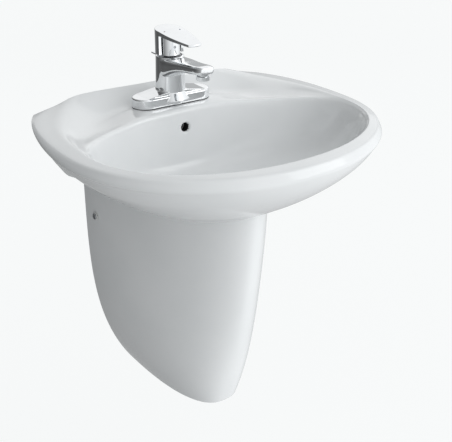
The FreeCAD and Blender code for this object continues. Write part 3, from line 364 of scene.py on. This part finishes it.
def make_pedestal(tree):
    """An open-backed shell whose top follows the belly above it."""
    lip, foot = PED_LIP, PED_FOOT_EDGE
    rings = []
    for column in range(COLUMNS + 1):
        angle = math.pi * column / COLUMNS
        outer_top = top_drop(tree, angle, 0.0) + 0.3
        inner_top = top_drop(tree, angle, PED_WALL) + 0.3
        ring = []
        for step in range(FOOT_STEPS + 1):
            turn = math.pi / 2 * step / FOOT_STEPS
            ring.append(pedestal_point(angle, PED_FOOT - foot + foot * math.cos(turn),
                                       foot - foot * math.sin(turn)))
        low, high = PED_FOOT - foot, outer_top + lip
        for step in range(1, LEVELS):
            ring.append(pedestal_point(angle, low + (high - low) * step / LEVELS))
        for step in range(LIP_STEPS + 1):
            turn = math.pi / 2 * step / LIP_STEPS
            share = 1 - math.cos(turn)
            ring.append(pedestal_point(angle, high - lip * math.sin(turn), lip * share))
        ring.append(pedestal_point(angle, (outer_top + inner_top) / 2 + 0.5, (lip + PED_WALL) / 2))
        ring.append(pedestal_point(angle, inner_top + 1.0, PED_WALL - 1))
        ring.append(pedestal_point(angle, inner_top + 3.0, PED_WALL))
        low, high = inner_top + 3.0, PED_FOOT - PED_WALL
        for step in range(1, INNER_LEVELS + 1):
            ring.append(pedestal_point(angle, low + (high - low) * step / INNER_LEVELS, PED_WALL))
        rings.append(ring)
    count = len(rings[0])
    verts = [v for ring in rings for v in ring]
    faces = []
    for column in range(COLUMNS):
        for step in range(count - 1):
            a = column * count + step
            faces.append((a, a + 1, a + count + 1, a + count))
    faces.append(tuple(column * count for column in range(COLUMNS + 1)))
    faces.append(tuple(column * count + count - 1 for column in range(COLUMNS, -1, -1)))
    for column in (0, COLUMNS):
        faces.append(tuple(column * count + step for step in range(count)))
    made = mesh_object("pedestal_china", verts, faces)
    fix_normals(made)
    smooth(made, 40)
    return made


# ---------------------------------------------------------------- materials


def nodes_of(material):
    material.use_nodes = True
    tree = material.node_tree
    return tree.nodes, tree.links, tree.nodes["Principled BSDF"]


def procedural(name, dark, light, rough, scale, bump=0.0, metal=0.0, bump_scale=None, **sockets):
    """A node material: colour and roughness vary softly over the object, with a fine bump."""
    made = bpy.data.materials.new(name)
    nodes, links, shader = nodes_of(made)
    place = nodes.new("ShaderNodeTexCoord")
    cloud = nodes.new("ShaderNodeTexNoise")
    cloud.inputs["Scale"].default_value = scale
    cloud.inputs["Detail"].default_value = 4.0
    links.new(place.outputs["Object"], cloud.inputs["Vector"])
    tint = nodes.new("ShaderNodeValToRGB")
    tint.color_ramp.elements[0].position = 0.3
    tint.color_ramp.elements[1].position = 0.7
    tint.color_ramp.elements[0].color = (*dark, 1)
    tint.color_ramp.elements[1].color = (*light, 1)
    links.new(cloud.outputs["Fac"], tint.inputs["Fac"])
    links.new(tint.outputs["Color"], shader.inputs["Base Color"])
    gloss = nodes.new("ShaderNodeMapRange")
    gloss.inputs["To Min"].default_value = rough[0]
    gloss.inputs["To Max"].default_value = rough[1]
    links.new(cloud.outputs["Fac"], gloss.inputs["Value"])
    links.new(gloss.outputs["Result"], shader.inputs["Roughness"])
    shader.inputs["Metallic"].default_value = metal
    if bump > 0:
        grain = nodes.new("ShaderNodeTexNoise")
        grain.inputs["Scale"].default_value = bump_scale or scale * 20
        grain.inputs["Detail"].default_value = 3.0
        links.new(place.outputs["Object"], grain.inputs["Vector"])
        relief = nodes.new("ShaderNodeBump")
        relief.inputs["Strength"].default_value = 1.0
        relief.inputs["Distance"].default_value = bump
        links.new(grain.outputs["Fac"], relief.inputs["Height"])
        links.new(relief.outputs["Normal"], shader.inputs["Normal"])
    for socket, value in sockets.items():
        shader.inputs[socket.replace("_", " ")].default_value = value
    return made


china = procedural("glazed_china", (0.80, 0.815, 0.82), (0.84, 0.85, 0.855), (0.10, 0.16), 9.0,
                   bump=0.00002, bump_scale=45.0, Coat_Weight=0.25, Coat_Roughness=0.04)
FINISH = {
    "china": china,
    "chrome": procedural("polished_chrome", (0.80, 0.81, 0.82), (0.86, 0.87, 0.88), (0.03, 0.07), 30.0,
                         bump=0.000004, bump_scale=120.0, metal=1.0),
    "brass": procedural("turned_brass", (0.52, 0.37, 0.16), (0.68, 0.52, 0.26), (0.22, 0.38), 60.0,
                        bump=0.00002, metal=1.0),
    "steel": procedural("zinc_steel", (0.42, 0.43, 0.45), (0.60, 0.61, 0.63), (0.25, 0.42), 80.0,
                        bump=0.00002, metal=1.0),
    "rubber": procedural("black_rubber", (0.022, 0.022, 0.024), (0.045, 0.045, 0.048), (0.55, 0.8), 90.0,
                         bump=0.00005),
    "white_plastic": procedural("white_plastic", (0.70, 0.70, 0.68), (0.78, 0.78, 0.76), (0.3, 0.42), 60.0,
                                bump=0.00002),
    "grey_plastic": procedural("grey_plastic", (0.20, 0.205, 0.215), (0.28, 0.285, 0.295), (0.38, 0.55), 70.0,
                               bump=0.00003),
    "red_marker": procedural("red_marker", (0.16, 0.025, 0.022), (0.22, 0.035, 0.03), (0.2, 0.3), 200.0),
    "blue_marker": procedural("blue_marker", (0.02, 0.04, 0.14), (0.03, 0.06, 0.19), (0.2, 0.3), 200.0),
}
# A near-black painted shade for the overflow channel, standing in for the shadow deep inside the hole; it is
# not the china's own colour.
OVERFLOW_SHADE_PAINT = procedural("overflow_painted_shade", (0.004, 0.004, 0.005), (0.012, 0.012, 0.013), (0.8, 0.95),
                      150.0)
SLOT_OF = {item["node"]: item["material_slot"] for item in frame["record"]["subparts"]}
for node, obj in NODES.items():
    obj.data.materials.clear()
    obj.data.materials.append(FINISH[SLOT_OF[node]])


def finish_as(obj, slot, body="fixed", node=None):
    """Gives a piece its finish, body and slot; one that already has two materials, such as the basin with the
    painted shade in its overflow, keeps them.
    """
    if len(obj.data.materials) < 2:
        obj.data.materials.clear()
        obj.data.materials.append(FINISH[slot])
    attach(obj, body)
    if node:
        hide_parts(node)


def cast(node, name, slot, body, voxel, rounds):
    """A remeshed copy of a CAD metal part, with the soft edges of a plated casting."""
    made = bpy.data.objects.new(name, NODES[node].data.copy())
    bpy.context.scene.collection.objects.link(made)
    grid = made.modifiers.new("grid", "REMESH")
    grid.mode = "VOXEL"
    grid.voxel_size = voxel * MM
    relax = made.modifiers.new("relax", "SMOOTH")
    relax.factor = 0.5
    relax.iterations = rounds
    apply_modifiers(made)
    made.data.shade_smooth()
    finish_as(made, slot, body, node)


cast("tap_body", "tap_casting", "chrome", "fixed", 0.7, 9)
cast("lever_handle", "lever_casting", "chrome", "lever", 0.5, 5)
basin, belly_tree = make_basin()
finish_as(basin, "china", node="basin")
finish_as(make_pedestal(belly_tree), "china", node="half_pedestal")

# ---------------------------------------------------------------- camera, light, floor


def aim(obj, place, target):
    obj.location = place
    obj.rotation_euler = (Vector(target) - Vector(place)).to_track_quat("-Z", "Y").to_euler()


def area(name, place, target, width, height, power):
    data = bpy.data.lights.new(name, "AREA")
    data.shape = "RECTANGLE"
    data.size, data.size_y, data.energy = width, height, power
    made = bpy.data.objects.new(name, data)
    bpy.context.scene.collection.objects.link(made)
    aim(made, place, target)


camera_data = bpy.data.cameras.new("camera")
camera_data.lens, camera_data.sensor_width, camera_data.sensor_fit = 74.1, 36.0, "HORIZONTAL"
camera = bpy.data.objects.new("camera", camera_data)
camera.location = (-0.8169, -1.4452, 0.5948)
camera.rotation_euler = (math.radians(64.95), 0, math.radians(-34.18))
bpy.context.scene.collection.objects.link(camera)
bpy.context.scene.camera = camera
bpy.context.scene.view_settings.view_transform = "Standard"

area("key", (1.9, -2.3, 1.1), (0, -0.25, -0.05), 1.6, 1.6, 12)
area("top", (0.2, -0.5, 2.2), (0, -0.25, 0), 1.4, 1.4, 2)
area("back_card", (1.3, 1.9, 1.5), (0, -0.1, 0.1), 3.0, 1.8, 9)

FLOOR_HALF, FLOOR_Z = 6, -0.78  # metres
corners = [(-FLOOR_HALF, -FLOOR_HALF), (FLOOR_HALF, -FLOOR_HALF), (FLOOR_HALF, FLOOR_HALF),
           (-FLOOR_HALF, FLOOR_HALF)]
floor = mesh_object("floor", [(x, y, FLOOR_Z) for x, y in corners], [(0, 1, 2, 3)], 1.0)
pale = bpy.data.materials.new("pale_floor")
shader = nodes_of(pale)[2]
shader.inputs["Base Color"].default_value = (0.1, 0.1, 0.1, 1)
shader.inputs["Roughness"].default_value = 0.9
shader.inputs["Emission Color"].default_value = (0.90, 0.915, 0.915, 1)
shader.inputs["Emission Strength"].default_value = 0.93
floor.data.materials.append(pale)
floor.visible_diffuse = False
floor.visible_glossy = False

world = bpy.data.worlds.new("studio")
bpy.context.scene.world = world
world.use_nodes = True
links, nodes = world.node_tree.links, world.node_tree.nodes
nodes.clear()
sky_out = nodes.new("ShaderNodeOutputWorld")
place = nodes.new("ShaderNodeTexCoord")
lean = nodes.new("ShaderNodeVectorMath")
lean.operation = "DOT_PRODUCT"
lean.inputs[1].default_value = (0.66, -0.75, 0.0)
links.new(place.outputs["Generated"], lean.inputs[0])
sweep = nodes.new("ShaderNodeMapRange")
sweep.inputs["From Min"].default_value = -1.0
sweep.inputs["From Max"].default_value = 1.0
sweep.inputs["To Min"].default_value = 0.08
sweep.inputs["To Max"].default_value = 1.25
links.new(lean.outputs["Value"], sweep.inputs["Value"])
room = nodes.new("ShaderNodeBackground")
room.inputs["Color"].default_value = (0.97, 0.99, 1.0, 1)
links.new(sweep.outputs["Result"], room.inputs["Strength"])
plain = nodes.new("ShaderNodeBackground")
plain.inputs["Color"].default_value = (0.922, 0.930, 0.930, 1)
ray = nodes.new("ShaderNodeLightPath")
mix = nodes.new("ShaderNodeMixShader")
links.new(ray.outputs["Is Camera Ray"], mix.inputs["Fac"])
links.new(room.outputs["Background"], mix.inputs[1])
links.new(plain.outputs["Background"], mix.inputs[2])
links.new(mix.outputs["Shader"], sky_out.inputs["Surface"])
